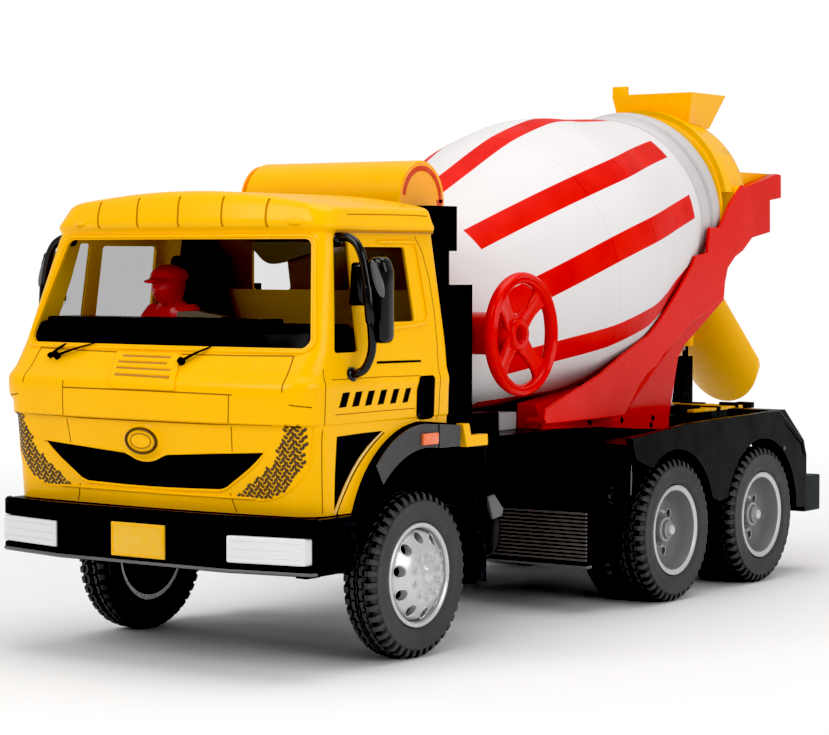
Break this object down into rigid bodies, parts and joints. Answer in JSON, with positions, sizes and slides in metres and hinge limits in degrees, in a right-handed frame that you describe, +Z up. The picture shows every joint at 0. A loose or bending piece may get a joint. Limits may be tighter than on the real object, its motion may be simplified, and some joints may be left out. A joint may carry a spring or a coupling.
{
  "type": "toy concrete mixer truck",
  "caption": "Toy concrete mixer truck: hollow cab, turning wheels, tilted drum turned by a side hand wheel, hopper, hood and swinging chute.",
  "frame": {"origin": "on the floor under the middle of the whole box", "axes": "+X to the truck's left, +Y rearwards, +Z up"},
  "size_m": [0.117, 0.3138, 0.1604],
  "materials": {
    "black_plastic": "satin moulded plastic",
    "grey_plastic": "matt moulded plastic",
    "lamp_white": "lamp block",
    "orange_plastic": "translucent look",
    "pale_plastic": "matt moulded plastic",
    "red_plastic": "glossy moulded plastic",
    "silver_plastic": "silver coloured plastic",
    "steel": "plain rod",
    "tyre": "moulded tread",
    "white_plastic": "glossy moulded plastic",
    "yellow_plastic": "satin moulded plastic"
  },
  "bodies": {
    "chassis": {"air_stack_left": "black_plastic", "air_stack_right": "black_plastic", "cab_brackets": "yellow_plastic", "cab_floor": "black_plastic", "cab_shell": "yellow_plastic", "chassis_frame": "black_plastic", "chute_post": "black_plastic", "dashboard": "black_plastic", "deck_tray": "yellow_plastic", "driver_figure": "red_plastic", "drum_rest": "pale_plastic", "front_bumper": "black_plastic", "front_fender_left": "grey_plastic", "front_fender_right": "grey_plastic", "gear_housing": "black_plastic", "headlights": "lamp_white", "hopper": "yellow_plastic", "loading_hood": "yellow_plastic", "mirror_left": "black_plastic", "mirror_right": "black_plastic", "number_plate": "yellow_plastic", "rear_lamp_boxes": "grey_plastic", "rear_mudguard_left": "black_plastic", "rear_mudguard_right": "black_plastic", "rear_pedestal": "red_plastic", "seats": "black_plastic", "side_hanger_left": "black_plastic", "side_hanger_right": "black_plastic", "steering_wheel": "black_plastic", "turn_indicators": "orange_plastic", "under_box": "black_plastic", "water_tank": "yellow_plastic"},
    "front_wheels": {"front_axle": "steel", "front_rims": "silver_plastic", "front_tyres": "tyre"},
    "middle_wheels": {"middle_axle": "steel", "middle_rims": "silver_plastic", "middle_tyres": "tyre"},
    "rear_wheels": {"rear_axle": "steel", "rear_rims": "silver_plastic", "rear_tyres": "tyre"},
    "drum": {"drum_ring": "white_plastic", "mixing_drum": "white_plastic"},
    "hand_wheel": {"hand_wheel": "red_plastic"},
    "chute": {"chute": "yellow_plastic"}
  },
  "joints": [
    {"name": "front_axle_spin", "type": "hinge", "parent": "chassis", "child": "front_wheels", "pos_m": [0, -0.10406, 0.0215], "axis": [1, 0, 0], "continuous": true},
    {"name": "middle_axle_spin", "type": "hinge", "parent": "chassis", "child": "middle_wheels", "pos_m": [0, 0.02773, 0.0215], "axis": [1, 0, 0], "continuous": true},
    {"name": "rear_axle_spin", "type": "hinge", "parent": "chassis", "child": "rear_wheels", "pos_m": [0, 0.08376, 0.0215], "axis": [1, 0, 0], "continuous": true},
    {"name": "drum_spin", "type": "hinge", "parent": "chassis", "child": "drum", "pos_m": [0, -0.03956, 0.08585], "axis": [0, 0.9677, 0.2521], "continuous": true},
    {"name": "hand_wheel_spin", "type": "hinge", "parent": "chassis", "child": "hand_wheel", "pos_m": [0.05332, -0.06042, 0.08235], "axis": [1, 0, 0], "continuous": true},
    {"name": "chute_swing", "type": "hinge", "parent": "chassis", "child": "chute", "pos_m": [0, 0.12577, 0.06945], "axis": [0, 0, 1], "range_deg": [-35, 35]}
  ],
  "couplings": [
    {"joint": "hand_wheel_spin", "follows": "drum_spin", "ratio": -2}
  ]
}
